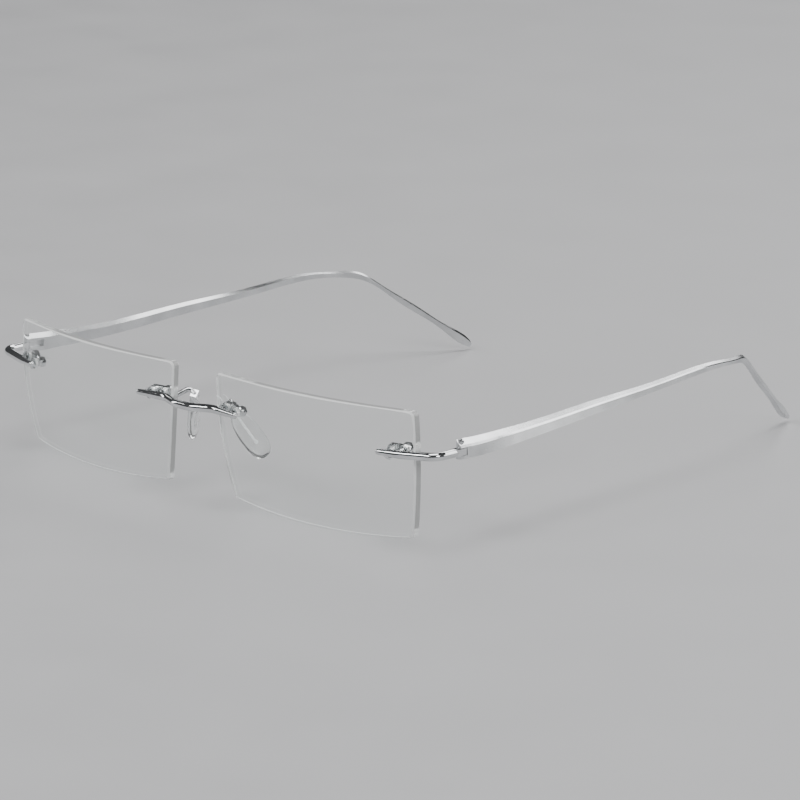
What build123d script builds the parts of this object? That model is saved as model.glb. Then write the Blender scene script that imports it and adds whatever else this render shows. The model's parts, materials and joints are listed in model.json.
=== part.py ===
from build123d import *
from math import radians, sqrt, tan
import os

# Rimless eyeglasses with two drilled lenses, a wire bridge, wire endpieces and folding temples.
# Millimetres, +Z up, standing on a table at z = 0.  The lenses face -Y and the temples run to +Y.
# Everything is drawn for the +X side, called right, and mirrored to the -X side, called left.
# y is measured from the bridge while drawing, and the whole model is centred at the end.

middle_y = 68.51                # from the bridge datum to the middle of the whole length

# Lens: a curved plate, tilted and wrapped towards the face
lens_width_top = 55.0
nose_gap_top = 13.2             # between the two lenses at their top inner corners
lens_thickness = 2.0
lens_curve = 120.0              # radius of the front surface
lens_centre = Vector(37.4, -0.35, 17.6)
lens_tilt = 3.8                 # degrees, bottom edge towards the face
lens_wrap = 6.2                 # degrees, outer edge towards the ears
lens_bevel = 0.35
top_corner_radius = 1.3
bottom_corner_radius = 0.7
lens_corners = {
    "top_inner": (nose_gap_top / 2, 29.3),
    "top_outer": (nose_gap_top / 2 + lens_width_top, 29.4),
    "bottom_outer": (59.6, 1.15),
    "bottom_inner": (10.7, 1.5),
}
inner_bulge = (7.75, 15.5)      # a point that the nose-side edge curves through
outer_bulge = (61.8, 15.5)
bottom_low = (35.0, 0.0)        # where the lower edge meets the table

# Drilled mounts: two studs through each end of each lens
stud_radius = 0.6
stud_clearance = 0.05
sleeve_radius = 1.0
flange_radius = 1.25
flange_thickness = 0.55
rod_offset = 1.5                # rod axis in front of the lens
plate_thickness = 0.7
nut_height = 0.95
nut_across_flats = 2.1
stud_overhang = 0.25
seat_gap = 0.03                 # between clamped faces
bridge_stud_x = (10.0, 13.2)
bridge_stud_z = 21.65
endpiece_stud_x = (56.2, 59.4)
endpiece_stud_z = 20.4

# Wires of the front
rod_radius = 0.92
rod_end_radius = 0.62
bridge_turn = Vector(2.4, -3.4, 21.4)      # the end of the level run over the nose
bridge_bend_radius = 6.5
endpiece_corner = Vector(68.0, 4.9, 20.75)
endpiece_bend_radius = 3.0
endpiece_foot = 1.9             # how far the tapered ends pass the last stud
bridge_foot = 2.1

# Hinge, on a vertical axis
hinge_x = 68.0
hinge_y = 12.4
ear_radius = 1.0
knuckle_radius = 0.85
knuckle_reach = 0.88            # from the axis to the knuckle's square outer side
heel_length = 2.3               # from the axis forward to the end of the knuckle
heel_round = 0.6
lower_ear = (19.15, 19.9)
knuckle = (19.97, 21.42)
upper_ear = (21.5, 23.35)
hinge_pin_radius = 0.45
hinge_pin_clearance = 0.05
hinge_head_radius = 0.7
hinge_head = (22.5, 23.0)
screw_slot = (0.26, 0.25)       # width and depth
seat_clearance = 0.02
butt_y = 13.5                   # front face of the temple's solid part
butt_gap = 0.2                  # to the knuckle that stops it when open
pocket_length = 3.2
pocket_depth = 0.1              # how far it reaches past the axis, outward

# Temple: centre x, y, z, then width, height and lean in degrees of each section
temple_stations = [
    (68.0, butt_y, 21.25, 1.75, 4.2, 6),
    (67.85, 20.0, 20.98, 1.75, 4.05, 11),
    (67.4, 27.0, 20.95, 1.7, 3.75, 15),
    (66.5, 45.0, 21.4, 1.65, 3.15, 15),
    (65.8, 65.0, 22.25, 1.5, 2.5, 12),
    (64.9, 86.0, 23.2, 1.4, 1.9, 8),
    (64.2, 98.5, 23.5, 1.35, 1.55, 4),
    (62.6, 107.2, 22.75, 1.35, 1.42, 0),
    (60.2, 114.1, 20.95, 1.35, 1.38, 0),
    (57.3, 121.6, 15.5, 1.33, 1.34, 0),
    (54.4, 129.4, 9.9, 1.32, 1.34, 0),
    (52.7, 134.2, 6.35, 1.38, 1.6, 0),
    (51.75, 137.2, 4.15, 1.45, 2.25, 0),
    (51.1, 139.5, 2.45, 1.3, 2.1, 0),
    (50.8, 141.0, 1.3, 0.9, 1.2, 0),
]
# Corners of the section from the outer side over the top, as parts of its half width and height
section_top = [(1, 0.07), (0.84, 0.2), (-0.15, 0.5), (-1, 0.26)]
thumb_facet_at = (51.5, 138.2, 3.6)     # shallow dish on the outer side of the tip
thumb_facet_depth = 0.42
thumb_facet_radius = 3.4
thumb_facet_way = Vector(0.95, 0.31, 0)

# Nose pad, in its own axes: x down its length, z towards the nose
pad_centre = Vector(9.05, 8.4, 15.1)
pad_down = Vector(0.424, 0.379, -0.823)
pad_facing = Vector(-0.846, 0.491, -0.21)
pad_top = -5.0
pad_bottom = 6.85
pad_width = 5.2
pad_thickness = 2.0
pad_edge_radius = 0.75
core_width = 0.5
core_thickness = 0.45
core_end = 2.7                  # where the core stops, down the pad
core_button = (0.5, 0.6)        # radius and thickness of its round end
core_gap = 0.03
pivot_at = -6.1                 # pad pivot, up the pad's length
pivot_radius = 0.35
pivot_clearance = 0.05
tongue_radius = 0.8
tongue_width = 0.9
cheek_gap = 0.1
cheek_thickness = 0.5
cheek_radius = 0.8
box_root = (1.3, 1.4)           # length and height of the pad box behind its pin
box_slot = (2.5, 3.0)           # opening for the pad's tongue
arm_radius = 0.58
arm_corner = Vector(7.2, 5.4, 22.3)
arm_root_drop = 0.7             # the arm leaves the plate this far below the studs

lens_back_way = Vector(-tan(radians(lens_wrap)), 1, tan(radians(lens_tilt))).normalized()
lens_sphere_centre = lens_centre + lens_back_way * lens_curve
hinge_axis = Vector(hinge_x, hinge_y, 0)

pad_down = pad_down.normalized()
pad_facing = (pad_facing - pad_down * pad_facing.dot(pad_down)).normalized()
pad_across = pad_facing.cross(pad_down)
pad_plane = Plane(pad_centre, x_dir=pad_down, z_dir=pad_facing)
pivot = pad_centre + pad_down * pivot_at
pivot_plane = Plane(pivot, x_dir=pad_down, z_dir=pad_across)


def cylinder(plane, radius, start, end):
    """A cylinder along the plane's normal, between two heights over the plane."""
    disc = Plane(plane.origin + plane.z_dir * start, x_dir=plane.x_dir, z_dir=plane.z_dir)
    return Solid.make_cylinder(radius, end - start, disc)


def block(x_range, y_range, z_range):
    size = [b - a for a, b in (x_range, y_range, z_range)]
    corner = (x_range[0], y_range[0], z_range[0])
    return Pos(*corner) * Box(*size, align=(Align.MIN, Align.MIN, Align.MIN))


def wire_solid(points, bends, radius):
    """A round wire along straight runs joined by arcs, with rounded ends."""
    path = FilletPolyline(*points, radius=bends)
    section = Plane(path @ 0, z_dir=path % 0) * Circle(radius)
    ends = [Pos(*(path @ end)) * Sphere(radius) for end in (0, 1)]
    return sweep(section, path=path) + ends[0] + ends[1]


def taper(start, end, start_radius, end_radius):
    """A conical wire end with a ball tip."""
    way = end - start
    cone = Solid.make_cone(start_radius, end_radius, way.length, Plane(start, z_dir=way))
    return cone + Pos(*end) * Sphere(end_radius)


def lens_point(x, z):
    """The point of the right lens's front surface that lies at x and z."""
    dx = x - lens_sphere_centre.X
    dz = z - lens_sphere_centre.Z
    return Vector(x, lens_sphere_centre.Y - sqrt(lens_curve**2 - dx**2 - dz**2), z)


def mount_plane(stud_xs, z):
    """A plane on the lens's front, x along the two studs outward, normal pointing forward."""
    inner = lens_point(stud_xs[0], z)
    outer = lens_point(stud_xs[1], z)
    middle = (inner + outer) / 2
    forward = (middle - lens_sphere_centre).normalized()
    return Plane(middle, x_dir=outer - inner, z_dir=forward)


bridge_mount = mount_plane(bridge_stud_x, bridge_stud_z)
endpiece_mount = mount_plane(endpiece_stud_x, endpiece_stud_z)
stud_spacing = bridge_stud_x[1] - bridge_stud_x[0]
rear_plate_front = -lens_thickness - seat_gap
rear_plate_back = rear_plate_front - plate_thickness
nut_back = rear_plate_back - seat_gap - nut_height


def at_studs(mount):
    """The two planes that stand on the studs' axes."""
    return [mount.offset(0).move(Location(mount.x_dir * side * stud_spacing / 2)) for side in (-1, 1)]


def studs(mount):
    solids = [cylinder(p, stud_radius, nut_back - stud_overhang, rod_offset) for p in at_studs(mount)]
    return solids[0] + solids[1]


def bored(shape, mount, radius):
    for plane in at_studs(mount):
        shape -= cylinder(plane, radius, -8, 8)
    return shape


def make_lens():
    corners = lens_corners
    inner = ThreePointArc(corners["bottom_inner"], inner_bulge, corners["top_inner"])
    top = Line(corners["top_inner"], corners["top_outer"])
    outer = ThreePointArc(corners["top_outer"], outer_bulge, corners["bottom_outer"])
    bottom = ThreePointArc(corners["bottom_outer"], bottom_low, corners["bottom_inner"])
    outline = make_face(Curve() + [inner, top, outer, bottom])
    outline = fillet(outline.vertices().sort_by(Axis.Y)[-2:], top_corner_radius)
    outline = fillet(outline.vertices().sort_by(Axis.Y)[:2], bottom_corner_radius)
    prism = extrude(Plane.XZ * outline, amount=12, both=True)
    front_ball = Pos(*lens_sphere_centre) * Sphere(lens_curve)
    back_ball = Pos(*lens_sphere_centre) * Sphere(lens_curve - lens_thickness)
    lens = (prism & front_ball) - back_ball
    rims = [e for e in lens.edges() if e.geom_type != GeomType.LINE]
    lens = chamfer(rims, lens_bevel)
    for mount in (bridge_mount, endpiece_mount):
        lens = bored(lens, mount, sleeve_radius + 0.04)
    return lens


def make_bushings(mount):
    """Two clear sleeves with a flange under the rod."""
    sleeves = []
    for plane in at_studs(mount):
        sleeve = cylinder(plane, sleeve_radius, -lens_thickness + 0.05, seat_gap)
        sleeve += cylinder(plane, flange_radius, seat_gap, flange_thickness)
        sleeves.append(sleeve - cylinder(plane, stud_radius + stud_clearance, -8, 8))
    return Compound(sleeves)


def rear_plate(mount, inner_end, outer_end):
    """A flat plate behind the lens, rounded at both ends, over both studs."""
    length = inner_end + outer_end
    shape = SlotOverall(length, 2.6)
    face = mount * Pos((outer_end - inner_end) / 2, 0, rear_plate_back) * shape
    plate = extrude(face, amount=plate_thickness, dir=mount.z_dir)
    plate = chamfer(plate.faces().sort_by(SortBy.AREA)[-2].edges(), 0.15)
    return plate


def make_clamp_plate():
    plate = rear_plate(endpiece_mount, 2.9, 2.9)
    return bored(plate, endpiece_mount, stud_radius + stud_clearance)


def make_nuts(mount):
    nuts = []
    for plane in at_studs(mount):
        base = Plane(plane.origin + plane.z_dir * nut_back, x_dir=plane.x_dir, z_dir=plane.z_dir)
        hexagon = RegularPolygon(nut_across_flats / 2, 6, major_radius=False)
        nut = extrude(base * hexagon, amount=nut_height, dir=plane.z_dir)
        dome = Pos(*(base.origin + base.z_dir * 1.3)) * Sphere(1.75)
        nut = nut & dome
        nuts.append(nut - cylinder(plane, stud_radius + 0.02, -8, 8))
    return Compound([n if isinstance(n, Solid) else n.solid() for n in nuts])


def rod_point(mount, along):
    """A point on the rod's axis, some way outward from the middle between the studs."""
    return mount.origin + mount.x_dir * along + mount.z_dir * rod_offset


def make_bridge():
    """A bowed wire across the nose, with a tapered foot and two studs on each lens."""
    foot = rod_point(bridge_mount, stud_spacing / 2 + bridge_foot)
    knee = rod_point(bridge_mount, -stud_spacing / 2 - 0.4)
    shoulder = rod_point(bridge_mount, -stud_spacing / 2 - 2.6)
    half = taper(knee, foot, rod_radius, rod_end_radius) + studs(bridge_mount)
    points = [knee, shoulder, bridge_turn]
    points += [mirrored(point) for point in reversed(points)]
    middle = wire_solid(points, bridge_bend_radius, rod_radius)
    return middle + half + mirror(half, Plane.YZ)


def mirrored(point):
    return Vector(-point.X, point.Y, point.Z)


def make_endpiece():
    """A wire from the lens round to the hinge, ending in the hinge knuckle."""
    tip = rod_point(endpiece_mount, -stud_spacing / 2 - endpiece_foot)
    knee = rod_point(endpiece_mount, stud_spacing / 2)
    neck = Vector(hinge_x + 0.1, hinge_y - heel_length + 0.2, (knuckle[0] + knuckle[1]) / 2)
    rod = taper(knee, tip, rod_radius, rod_end_radius)
    rod += wire_solid([knee, endpiece_corner, neck], endpiece_bend_radius, rod_radius)
    heel_x = (hinge_x - knuckle_radius, hinge_x + knuckle_reach)
    heel = block(heel_x, (hinge_y - heel_length, hinge_y), knuckle)
    stop = block((hinge_x, hinge_x + knuckle_reach), (hinge_y - 0.5, butt_y - butt_gap), knuckle)
    lug = cylinder(Plane(hinge_axis), knuckle_radius, *knuckle) + heel + stop
    upright = lug.edges().filter_by(Axis.Z).group_by(SortBy.LENGTH)[-1]
    front = [e for e in upright if e.center().Y < hinge_y - heel_length + 0.1]
    shape = rod + fillet(front, heel_round) + studs(endpiece_mount)
    return shape - hinge_bore(hinge_pin_radius + hinge_pin_clearance, lower_ear[0])


def hinge_bore(radius, from_height):
    """What a bore on the hinge axis takes away, from a height up through the top."""
    return cylinder(Plane(hinge_axis), radius, from_height - 1, upper_ear[1] + 1)


def make_pad_arm():
    """Rear plate of the bridge mount with the arm that carries the nose pad's clevis."""
    plate = rear_plate(bridge_mount, 3.9, 2.9)
    root = bridge_mount.origin - bridge_mount.x_dir * 3.4 - bridge_mount.y_dir * arm_root_drop
    root += bridge_mount.z_dir * (rear_plate_back - 0.1)
    end = pivot - pad_down * 1.35
    arm = wire_solid([root, arm_corner, end], 0.9, arm_radius)
    cheek_inner = tongue_width / 2 + cheek_gap
    cheek_outer = cheek_inner + cheek_thickness
    box = cylinder(pivot_plane, cheek_radius, -cheek_outer, cheek_outer)
    box += extrude(pivot_plane * Pos(-1.0, 0, 0) * Rectangle(*box_root), amount=cheek_outer, both=True)
    box -= extrude(pivot_plane * Pos(0.35, 0, 0) * Rectangle(*box_slot), amount=cheek_inner, both=True)
    box -= cylinder(pivot_plane, pivot_radius + 0.01, -3, 3)
    return bored(plate + arm + box, bridge_mount, stud_radius + stud_clearance)


def core_shape(extra=0):
    """The stiffening core: a flat strip down the pad with a round end."""
    strip_start = pivot_at + 0.2
    length = core_end - strip_start
    strip = Rectangle(length, core_width + 2 * extra, align=(Align.MIN, Align.CENTER))
    face = pad_plane * Pos(strip_start, 0, 0) * strip
    shape = extrude(face, amount=core_thickness / 2 + extra, both=True)
    button = Plane(pad_centre + pad_down * core_end, x_dir=pad_down, z_dir=pad_facing)
    reach = core_button[1] / 2 + extra
    return shape + cylinder(button, core_button[0] + extra, -reach, reach)


def make_pad_core():
    core = core_shape() + cylinder(pivot_plane, tongue_radius, -tongue_width / 2, tongue_width / 2)
    return core - cylinder(pivot_plane, pivot_radius + pivot_clearance, -3, 3)


def make_pad():
    """Soft pad: a long oval with nearly straight sides, rounded all round, with the core inside."""
    half = pad_width / 2
    side = [(-3.9, half * 0.78), (-1.5, half), (3.3, half), (6.0, half * 0.7)]
    other = [(along, -across) for along, across in reversed(side)]
    outline = Spline((pad_top, 0), *side, (pad_bottom, 0), *other, periodic=True)
    face = make_face(outline)
    pad = extrude(pad_plane * face, amount=pad_thickness / 2, both=True)
    pad = fillet(pad.edges(), pad_edge_radius)
    return pad - core_shape(core_gap)


def make_pad_pin():
    reach = tongue_width / 2 + cheek_gap + cheek_thickness
    return cylinder(pivot_plane, pivot_radius, -reach, reach)


def make_hinge_screw():
    axis = Plane(hinge_axis)
    top = hinge_head[1]
    screw = cylinder(axis, hinge_pin_radius, lower_ear[0], top)
    screw += cylinder(axis, hinge_head_radius, *hinge_head)
    width, depth = screw_slot
    slot = block((hinge_x - 1.5, hinge_x + 1.5), (hinge_y - width / 2, hinge_y + width / 2), (top - depth, top + 1))
    return screw - slot


def temple_section(index):
    """A six-sided section: flat sides, a wide bevel and a narrow one outside, and one inside."""
    x, y, z, width, height, lean = temple_stations[index]
    before = temple_stations[max(index - 1, 0)]
    after = temple_stations[min(index + 1, len(temple_stations) - 1)]
    way = Vector(*after[:3]) - Vector(*before[:3])
    if index == 0:
        way = Vector(0, 1, 0)
    plane = Plane((x, y, z), x_dir=way.cross(Vector(0, 0, 1)), z_dir=-way)
    half_width = width / 2
    half_height = height / 2
    top = [(half_width * across, height * up) for across, up in section_top]
    outline = Polyline((-half_width, -half_height), (half_width, -half_height), *top, close=True)
    return plane * Rot(0, 0, lean_turn(plane, lean)) * make_face(outline)


def lean_turn(plane, lean):
    """The top of the section leans towards the head."""
    up = Vector(0, 0, 1)
    upright = plane.y_dir.dot(up)
    return lean if upright > 0 else 180 - lean


def make_temple():
    """The bar, carried forward as two ears round the knuckle, with a pocket behind them."""
    bar = loft([temple_section(i) for i in range(len(temple_stations))])
    axis = Plane(hinge_axis)
    front = extrude(temple_section(0), amount=butt_y - hinge_y + ear_radius, dir=(0, -1, 0))
    for low, high in (lower_ear, upper_ear):
        ear = cylinder(axis, ear_radius, low, high)
        ear += block((hinge_x - 3, hinge_x + 3), (hinge_y, butt_y + 0.5), (low, high))
        bar += front & ear
    pocket = block(
        (hinge_x - 2, hinge_x + pocket_depth), (butt_y - 0.1, butt_y + pocket_length),
        (lower_ear[1], upper_ear[0]))
    temple = bar - pocket - hinge_bore(hinge_pin_radius + seat_clearance, lower_ear[0])
    temple -= hinge_bore(hinge_head_radius + seat_clearance, hinge_head[0] + 1 - seat_clearance)
    outer_side = Vector(*thumb_facet_at) + thumb_facet_way * 0.72
    dish = outer_side + thumb_facet_way * (thumb_facet_radius - thumb_facet_depth)
    return temple - Pos(*dish) * Sphere(thumb_facet_radius)


def save(shape, node):
    placed = Pos(0, -middle_y, 0) * shape
    export_step(placed, f"parts/{node}.step")
    return placed


def main():
    os.makedirs("parts", exist_ok=True)
    placed = [save(make_bridge(), "bridge")]
    right_side = {
        "lens": make_lens(),
        "endpiece": make_endpiece(),
        "bridge_bushings": make_bushings(bridge_mount),
        "endpiece_bushings": make_bushings(endpiece_mount),
        "bridge_nuts": make_nuts(bridge_mount),
        "endpiece_nuts": make_nuts(endpiece_mount),
        "endpiece_plate": make_clamp_plate(),
        "pad_arm": make_pad_arm(),
        "pad_pin": make_pad_pin(),
        "pad_core": make_pad_core(),
        "nose_pad": make_pad(),
        "hinge_screw": make_hinge_screw(),
        "temple": make_temple(),
    }
    for name, shape in right_side.items():
        placed.append(save(shape, f"right_{name}"))
        placed.append(save(mirror(shape, Plane.YZ), f"left_{name}"))
    box = Compound(placed).bounding_box()
    print("box", box.min, box.max, "middle", box.center())
    print("hinge axis", hinge_x, hinge_y - middle_y, "pad pivot", pivot - Vector(0, middle_y, 0), pad_across)


main()
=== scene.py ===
import json
import math

import bmesh
import bpy
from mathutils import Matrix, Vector


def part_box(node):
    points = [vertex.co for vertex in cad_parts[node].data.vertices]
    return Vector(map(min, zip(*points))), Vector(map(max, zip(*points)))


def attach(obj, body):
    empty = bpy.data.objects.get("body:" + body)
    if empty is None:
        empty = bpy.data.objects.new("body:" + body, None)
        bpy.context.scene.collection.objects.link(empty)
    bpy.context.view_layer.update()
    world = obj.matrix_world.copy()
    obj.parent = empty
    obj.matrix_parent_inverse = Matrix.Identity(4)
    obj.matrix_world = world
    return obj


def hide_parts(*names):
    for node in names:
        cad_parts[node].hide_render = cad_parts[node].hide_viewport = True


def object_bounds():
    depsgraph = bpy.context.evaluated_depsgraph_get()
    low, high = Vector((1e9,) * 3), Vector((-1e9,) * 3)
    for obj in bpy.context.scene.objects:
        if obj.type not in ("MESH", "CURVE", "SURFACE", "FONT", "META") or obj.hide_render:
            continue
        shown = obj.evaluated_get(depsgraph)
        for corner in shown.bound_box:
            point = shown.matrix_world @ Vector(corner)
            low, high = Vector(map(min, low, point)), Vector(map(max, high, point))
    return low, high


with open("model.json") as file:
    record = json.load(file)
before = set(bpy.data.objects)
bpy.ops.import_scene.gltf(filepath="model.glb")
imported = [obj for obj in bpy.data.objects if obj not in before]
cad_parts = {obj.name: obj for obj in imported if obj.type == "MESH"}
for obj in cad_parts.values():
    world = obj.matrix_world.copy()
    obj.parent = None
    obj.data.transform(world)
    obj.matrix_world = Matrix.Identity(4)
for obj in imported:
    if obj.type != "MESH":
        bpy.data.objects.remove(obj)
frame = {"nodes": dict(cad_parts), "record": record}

# Rimless eyeglasses on a pale table.  Metres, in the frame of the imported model.
mm = 0.001
cad_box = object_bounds()
sides = {"left": -1, "right": 1}

# Nose pad, for the right side; the left one is its mirror image in X
pad_down = Vector((0.424, 0.379, -0.823)).normalized()
pad_facing = Vector((-0.846, 0.491, -0.21))         # towards the nose
pad_facing = (pad_facing - pad_down * pad_facing.dot(pad_down)).normalized()
pad_across = pad_facing.cross(pad_down)
pad_half_length = 5.9 * mm
pad_half_width = 2.58 * mm
pad_half_thickness = 0.98 * mm
pad_wider_below = 0.07          # how much wider the lower half is
pad_squareness = (0.9, 0.72)    # below 1 fills the outline's corners, along and across
pad_edge_fullness = 5           # higher keeps the crown flat until nearer the edge
pad_dish_depth = 0.22 * mm      # hollow of the back
pad_front_dish = 0.4            # the front's hollow, as a part of the back's
pad_rim_height = 0.08 * mm      # low rim round the back
pad_rim_at = 0.8                # where the rim runs, from the middle (0) to the edge (1)
pad_rim_width = 0.09
pad_rings = 14
pad_spokes = 56

# Finishes: colours as linear red, green, blue, and noise scales per metre
noise_ends = (0.3, 0.7)         # the noise values that take the two ends of a blend
cloud_scale = 260               # cloudy polish of the metals
metal_relief = 0.04 * mm
satin_colours = ((0.58, 0.59, 0.60), (0.76, 0.77, 0.78))
satin_cloud_scale = 140
satin_blast_scale = 3600
satin_roughness = (0.26, 0.44)
satin_strength = 0.35
bevel_polish_scale = 900
bevel_polish_stretch = (1, 0.05, 1)
bevel_roughness = (0.08, 0.18)
bevel_above = (0.34, 0.46)      # upward part of the normal where the polish starts
bevel_below = (0.68, 0.8)       # and where it gives way to the satin top
lens_ior = 1.5
lens_face = (0.88, 0.8)         # depth part of the normal: full face, and none
lens_bevel = (0.45, 0.25)       # the same for the polished bevels, which are painted as bright highlights
lens_smear_scale = 90
lens_grinding_scale = 1600
lens_grinding_stretch = (0.2, 1, 0.2)
lens_face_roughness = (0.0, 0.02)
lens_smear_ends = (0.45, 0.75)
lens_edge_roughness = (0.08, 0.26)
lens_edge_clearness = (0.55, 0.04)      # of the ground edge, and of the bevels: near none, so the bevels are painted near opaque white as a highlight
lens_colours = ((0.98, 0.99, 0.985), (0.99, 1.0, 0.995))
lens_shadow_tint = (0.93, 0.94, 0.94)
plastic_shadow_tint = (0.8, 0.82, 0.82)
plastic_shade = 0.96            # how much darker a plastic's clouds are
floor_colours = ((0.50, 0.50, 0.51), (0.52, 0.52, 0.53))
floor_scale = 30
floor_roughness = (0.55, 0.65)

# Stage
floor_reach = 4.0
floor_gap = 0.02 * mm           # keeps the floor clear of the pieces that stand on it
room_colour = (0.88, 0.90, 0.92)
room_strength = 0.08
softboxes = [                   # name, place, target, width, height, power
    ("back_box", (0.05, 1.1, 0.85), (0, 0.05, 0), 2.2, 0.5, 13),
    ("top_box", (0.1, -0.1, 1.3), (0, 0, 0), 0.7, 0.7, 9),
    ("front_box", (-0.15, -1.15, 0.95), (0, 0, 0.02), 1.0, 0.3, 9),
    ("side_box", (1.0, 0.9, 0.36), (0, 0, 0.02), 0.9, 0.4, 3),
    ("right_box", (1.25, -0.35, 0.7), (0, 0, 0.02), 0.4, 0.5, 5),
    ("left_box", (-1.1, -0.6, 0.5), (0, 0, 0.02), 0.25, 0.7, 3),
]
camera_place = Vector((0.69385, -0.71693, 0.26393))
camera_aim = Vector((0.01781, -0.02276, 0.01674))
camera_lens = 202.9
camera_nearest = 0.02


# ---------------------------------------------------------------- nodes

def new_material(name):
    """A material and its Principled shader."""
    material = bpy.data.materials.new(name)
    material.use_nodes = True
    shader = next(n for n in material.node_tree.nodes if n.type == "BSDF_PRINCIPLED")
    return material, shader


def add(material, kind, **inputs):
    node = material.node_tree.nodes.new(kind)
    for key, value in inputs.items():
        node.inputs[key].default_value = value
    return node


def link(material, source, target):
    material.node_tree.links.new(source, target)


def combine(material, operation, *values):
    """A Math node over linked values."""
    node = add(material, "ShaderNodeMath")
    node.operation = operation
    for value, socket in zip(values, node.inputs):
        link(material, value, socket)
    return node.outputs[0]


def noise(material, scale, detail, stretch=(1, 1, 1)):
    """Noise fixed to the piece, stretched along its axes."""
    place = add(material, "ShaderNodeTexCoord")
    mapping = add(material, "ShaderNodeMapping", Scale=stretch)
    node = add(material, "ShaderNodeTexNoise", Scale=scale, Detail=detail)
    link(material, place.outputs["Object"], mapping.inputs["Vector"])
    link(material, mapping.outputs["Vector"], node.inputs["Vector"])
    return node.outputs["Fac"]


def normal_part(material, axis):
    """How far the surface of the piece faces along an axis, from -1 to 1."""
    place = add(material, "ShaderNodeTexCoord")
    split = add(material, "ShaderNodeSeparateXYZ")
    link(material, place.outputs["Normal"], split.inputs["Vector"])
    return split.outputs[axis]


def remap(material, value, results, ends=noise_ends):
    """The value, from its two ends, as the two results and what lies between them."""
    node = add(material, "ShaderNodeMapRange")
    node.inputs["From Min"].default_value, node.inputs["From Max"].default_value = ends
    node.inputs["To Min"].default_value, node.inputs["To Max"].default_value = results
    link(material, value, node.inputs["Value"])
    return node.outputs["Result"]


def blended(material, factor, first, second):
    mix = add(material, "ShaderNodeMix")
    link(material, factor, mix.inputs["Factor"])
    link(material, first, mix.inputs["A"])
    link(material, second, mix.inputs["B"])
    return mix.outputs["Result"]


def colour(material, shader, value, pair):
    """Base colour that goes from the first colour to the second with the value."""
    ramp = add(material, "ShaderNodeValToRGB")
    for element, position, rgb in zip(ramp.color_ramp.elements, noise_ends, pair):
        element.position = position
        element.color = (*rgb, 1)
    link(material, value, ramp.inputs["Fac"])
    link(material, ramp.outputs["Color"], shader.inputs["Base Color"])


def bump(material, shader, value, strength, distance):
    node = add(material, "ShaderNodeBump", Strength=strength, Distance=distance)
    link(material, value, node.inputs["Height"])
    link(material, node.outputs["Normal"], shader.inputs["Normal"])


def let_light_through(material, shader, tint):
    """Clear pieces cast a faint shadow instead of a black one or a bright patch."""
    output = next(n for n in material.node_tree.nodes if n.type == "OUTPUT_MATERIAL")
    path = add(material, "ShaderNodeLightPath")
    clear = add(material, "ShaderNodeBsdfTransparent", Color=(*tint, 1))
    mix = add(material, "ShaderNodeMixShader")
    shadow, diffuse = path.outputs["Is Shadow Ray"], path.outputs["Is Diffuse Ray"]
    passing = combine(material, "MAXIMUM", shadow, diffuse)
    link(material, passing, mix.inputs[0])
    link(material, shader.outputs[0], mix.inputs[1])
    link(material, clear.outputs[0], mix.inputs[2])
    link(material, mix.outputs[0], output.inputs["Surface"])


# ---------------------------------------------------------------- materials

def metal(name, colours, roughness, grain, stretch=(1, 1, 1), scratch=0.05):
    """Silver metal with a cloudy polish and fine scratches."""
    material, shader = new_material(name)
    shader.inputs["Metallic"].default_value = 1.0
    colour(material, shader, noise(material, cloud_scale, 4), colours)
    fine = noise(material, grain, 6, stretch)
    link(material, remap(material, fine, roughness), shader.inputs["Roughness"])
    bump(material, shader, fine, scratch, metal_relief)
    return material


def satin_with_polished_bevels(name):
    """The temples: finely blasted satin, with the bevels beside the top polished."""
    material, shader = new_material(name)
    shader.inputs["Metallic"].default_value = 1.0
    colour(material, shader, noise(material, satin_cloud_scale, 4), satin_colours)
    blasted = noise(material, satin_blast_scale, 5)
    upward = normal_part(material, "Z")
    above_side = remap(material, upward, (0.0, 1.0), bevel_above)
    below_top = remap(material, upward, (1.0, 0.25), bevel_below)
    bevel = combine(material, "MULTIPLY", above_side, below_top)
    polish = noise(material, bevel_polish_scale, 6, bevel_polish_stretch)
    roughness = blended(
        material, bevel,
        remap(material, blasted, satin_roughness),
        remap(material, polish, bevel_roughness),
    )
    link(material, roughness, shader.inputs["Roughness"])
    blasting = remap(material, bevel, (1.0, 0.1), (0.0, 1.0))
    grain = combine(material, "MULTIPLY", blasted, blasting)
    bump(material, shader, grain, satin_strength, metal_relief)
    return material


def facing_front_or_back(material, full_and_none):
    """1 where the normal's Y part, either way, reaches full, and 0 where it falls to none."""
    full, none = full_and_none
    depth = combine(material, "ABSOLUTE", normal_part(material, "Y"))
    return remap(material, depth, (0.0, 1.0), (none, full))


def lens_material(name):
    """Clear optical plastic: smooth faces with faint smears, a grey ground edge, and bevels
    painted near opaque white as a bright highlight.
    """
    material, shader = new_material(name)
    shader.inputs["IOR"].default_value = lens_ior
    face = facing_front_or_back(material, lens_face)
    bevel = facing_front_or_back(material, lens_bevel)
    smears = noise(material, lens_smear_scale, 5)
    grinding = noise(material, lens_grinding_scale, 3, lens_grinding_stretch)
    roughness = blended(
        material, face,
        remap(material, grinding, lens_edge_roughness),
        remap(material, smears, lens_face_roughness, lens_smear_ends),
    )
    link(material, roughness, shader.inputs["Roughness"])
    # The bevels get almost no transmission, so they show the near-white base colour: a painted
    # highlight standing in for the glints of clear bevels.
    rim = remap(material, bevel, lens_edge_clearness, (0.0, 1.0))
    clearness = combine(material, "MAXIMUM", face, rim)
    link(material, clearness, shader.inputs["Transmission Weight"])
    colour(material, shader, smears, lens_colours)
    bump(material, shader, smears, 0.01, 0.02 * mm)
    let_light_through(material, shader, lens_shadow_tint)
    return material


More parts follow.
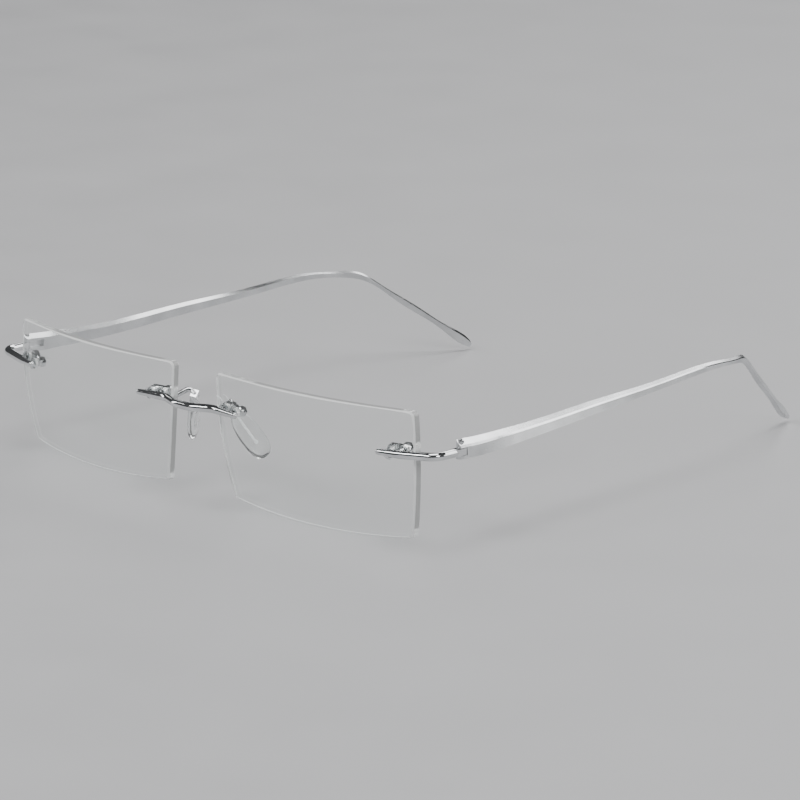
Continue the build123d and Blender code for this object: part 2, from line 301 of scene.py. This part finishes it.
def clear_plastic(name, light, roughness, ior, grain):
    """Clear, slightly cloudy plastic."""
    material, shader = new_material(name)
    shader.inputs["Transmission Weight"].default_value = 1.0
    shader.inputs["IOR"].default_value = ior
    cloud = noise(material, grain, 4)
    shade = tuple(part * plastic_shade for part in light)
    colour(material, shader, cloud, (shade, light))
    link(material, remap(material, cloud, roughness), shader.inputs["Roughness"])
    bump(material, shader, cloud, 0.08, 0.05 * mm)
    let_light_through(material, shader, plastic_shadow_tint)
    return material


def floor_material(name):
    material, shader = new_material(name)
    grain = noise(material, floor_scale, 5)
    colour(material, shader, grain, floor_colours)
    link(material, remap(material, grain, floor_roughness), shader.inputs["Roughness"])
    return material


finish_of_slot = {
    "clear_lens": lens_material("clear_lens"),
    "polished_metal": metal(
        "polished_metal", ((0.62, 0.63, 0.64), (0.80, 0.81, 0.82)), (0.05, 0.14), 1400,
    ),
    "satin_metal": satin_with_polished_bevels("satin_metal"),
    "pin_steel": metal(
        "turned_steel", ((0.55, 0.56, 0.57), (0.72, 0.73, 0.74)), (0.16, 0.30), 2400,
        stretch=(1, 1, 0.2), scratch=0.2,
    ),
    "core_metal": metal(
        "core_strip", ((0.84, 0.85, 0.86), (0.92, 0.93, 0.94)), (0.3, 0.45), 1800,
        scratch=0.1,
    ),
    "clear_plastic": clear_plastic("clear_sleeve", (0.95, 0.97, 0.97), (0.05, 0.15), 1.47, 700),
    "silicone": clear_plastic("clear_silicone", (0.97, 0.985, 0.98), (0.04, 0.12), 1.41, 420),
}


def dress_cad_nodes():
    """Each CAD node gets the finish of its material slot."""
    for part in frame["record"]["subparts"]:
        node = frame["nodes"][part["node"]]
        node.data.materials.clear()
        node.data.materials.append(finish_of_slot[part["material_slot"]])


# ---------------------------------------------------------------- nose pads

def pad_outline(turn):
    """A point of the pad's outline, along and across, for a turn round it."""
    down, over = math.cos(turn), math.sin(turn)
    along = pad_half_length * math.copysign(abs(down) ** pad_squareness[0], down)
    across = pad_half_width * math.copysign(abs(over) ** pad_squareness[1], over)
    return along, across * (1 + pad_wider_below * down)


def pad_height(reach, towards_nose):
    """Height above the middle plane, at a part of the way from the middle to the edge."""
    crown = pad_half_thickness * (1 - reach**pad_edge_fullness) ** 0.5
    dish = pad_dish_depth * (1 - reach**2) ** 2
    if towards_nose:
        return crown - dish * pad_front_dish
    rim = pad_rim_height * math.exp(-((reach - pad_rim_at) / pad_rim_width) ** 2)
    return dish - crown - rim


def make_pad(side, sign):
    """A soft moulded pad: crowned towards the nose, dished with a low rim behind."""
    node = f"{side}_nose_pad"
    low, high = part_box(node)
    middle = (Vector(low) + Vector(high)) / 2
    mesh = bmesh.new()

    def vertex(along, across, height):
        p = pad_down * along + pad_across * across + pad_facing * height
        return mesh.verts.new(middle + Vector((p.x * sign, p.y, p.z)))

    def ring(step, towards_nose):
        reach = math.sin(step / pad_rings * math.pi / 2)
        height = pad_height(reach, towards_nose)
        outline = [pad_outline(spoke / pad_spokes * 2 * math.pi) for spoke in range(pad_spokes)]
        return [vertex(along * reach, across * reach, height) for along, across in outline]

    front = [ring(step, True) for step in range(1, pad_rings + 1)]
    back = [ring(step, False) for step in range(1, pad_rings)]
    rings = front + back[::-1]
    for first, second in zip(rings, rings[1:]):
        for i in range(pad_spokes):
            j = (i + 1) % pad_spokes
            mesh.faces.new((first[i], first[j], second[j], second[i]))
    for around, towards_nose in ((rings[0], True), (rings[-1], False)):
        centre = vertex(0, 0, pad_height(0, towards_nose))
        for i in range(pad_spokes):
            j = (i + 1) % pad_spokes
            mesh.faces.new((centre, around[i], around[j]))
    bmesh.ops.recalc_face_normals(mesh, faces=mesh.faces)
    data = bpy.data.meshes.new(f"{side}_soft_pad")
    mesh.to_mesh(data)
    mesh.free()
    data.shade_smooth()
    data.materials.append(finish_of_slot["silicone"])
    pad = bpy.data.objects.new(f"{side}_soft_pad", data)
    bpy.context.scene.collection.objects.link(pad)
    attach(pad, f"{side}_pad")
    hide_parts(node)


# ---------------------------------------------------------------- stage

def make_floor():
    data = bpy.data.meshes.new("table_top")
    far = floor_reach
    corners = [(-far, -far, 0), (far, -far, 0), (far, far, 0), (-far, far, 0)]
    data.from_pydata(corners, [], [(0, 1, 2, 3)])
    data.materials.append(floor_material("pale_table"))
    floor = bpy.data.objects.new("table_top", data)
    floor.location.z = cad_box[0].z - floor_gap
    bpy.context.scene.collection.objects.link(floor)


def aimed(place, target):
    """The rotation of a light or a camera at a place that looks at a target."""
    return (Vector(target) - Vector(place)).to_track_quat("-Z", "Y").to_euler()


def make_lights():
    """A wide box behind for the bright tops, and a low-key room for contrast."""
    for name, place, target, width, height, power in softboxes:
        data = bpy.data.lights.new(name, "AREA")
        data.shape = "RECTANGLE"
        data.size = width
        data.size_y = height
        data.energy = power
        light = bpy.data.objects.new(name, data)
        light.location = place
        light.rotation_euler = aimed(place, target)
        light.visible_camera = False
        bpy.context.scene.collection.objects.link(light)
    world = bpy.data.worlds.new("studio")
    world.use_nodes = True
    background = world.node_tree.nodes["Background"]
    background.inputs["Color"].default_value = (*room_colour, 1)
    background.inputs["Strength"].default_value = room_strength
    bpy.context.scene.world = world


def make_camera():
    data = bpy.data.cameras.new("camera")
    data.lens = camera_lens
    data.clip_start = camera_nearest
    camera = bpy.data.objects.new("camera", data)
    camera.location = camera_place
    camera.rotation_euler = aimed(camera_place, camera_aim)
    bpy.context.scene.collection.objects.link(camera)
    bpy.context.scene.camera = camera


dress_cad_nodes()
for side, sign in sides.items():
    make_pad(side, sign)
make_floor()
make_lights()
make_camera()
